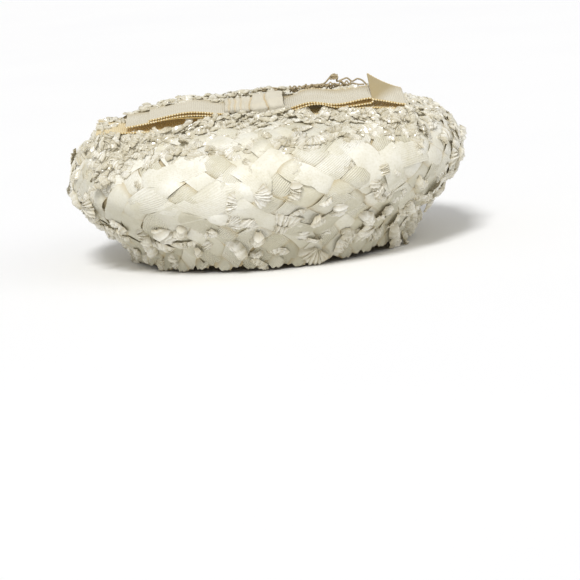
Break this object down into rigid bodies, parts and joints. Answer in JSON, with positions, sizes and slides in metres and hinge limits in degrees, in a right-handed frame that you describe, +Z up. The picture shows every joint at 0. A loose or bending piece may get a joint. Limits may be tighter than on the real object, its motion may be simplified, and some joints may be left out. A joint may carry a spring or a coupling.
{
  "type": "pillbox hat",
  "caption": "Pillbox hat of plaited straw ribbon with crinkled straw puffs and a flat grosgrain bow lying across the front of its tip.",
  "frame": {"origin": "middle of the head opening, on the plane that the rim rests on", "axes": "+Z up out of the crown's tip, +Y from the front of the hat to its back, +X to the right for someone facing the front"},
  "size_m": [0.2138, 0.2238, 0.0915],
  "materials": {
    "straw": "satin plaited straw ribbon, cream",
    "ribbon": "matt ribbed grosgrain, ivory with golden edges"
  },
  "bodies": {
    "root": {"crown_side": "straw", "crown_tip": "straw", "bow_knot": "ribbon", "bow_loop_left": "ribbon", "bow_loop_right": "ribbon", "bow_underloop_left": "ribbon", "bow_tail_right": "ribbon"}
  },
  "joints": []
}
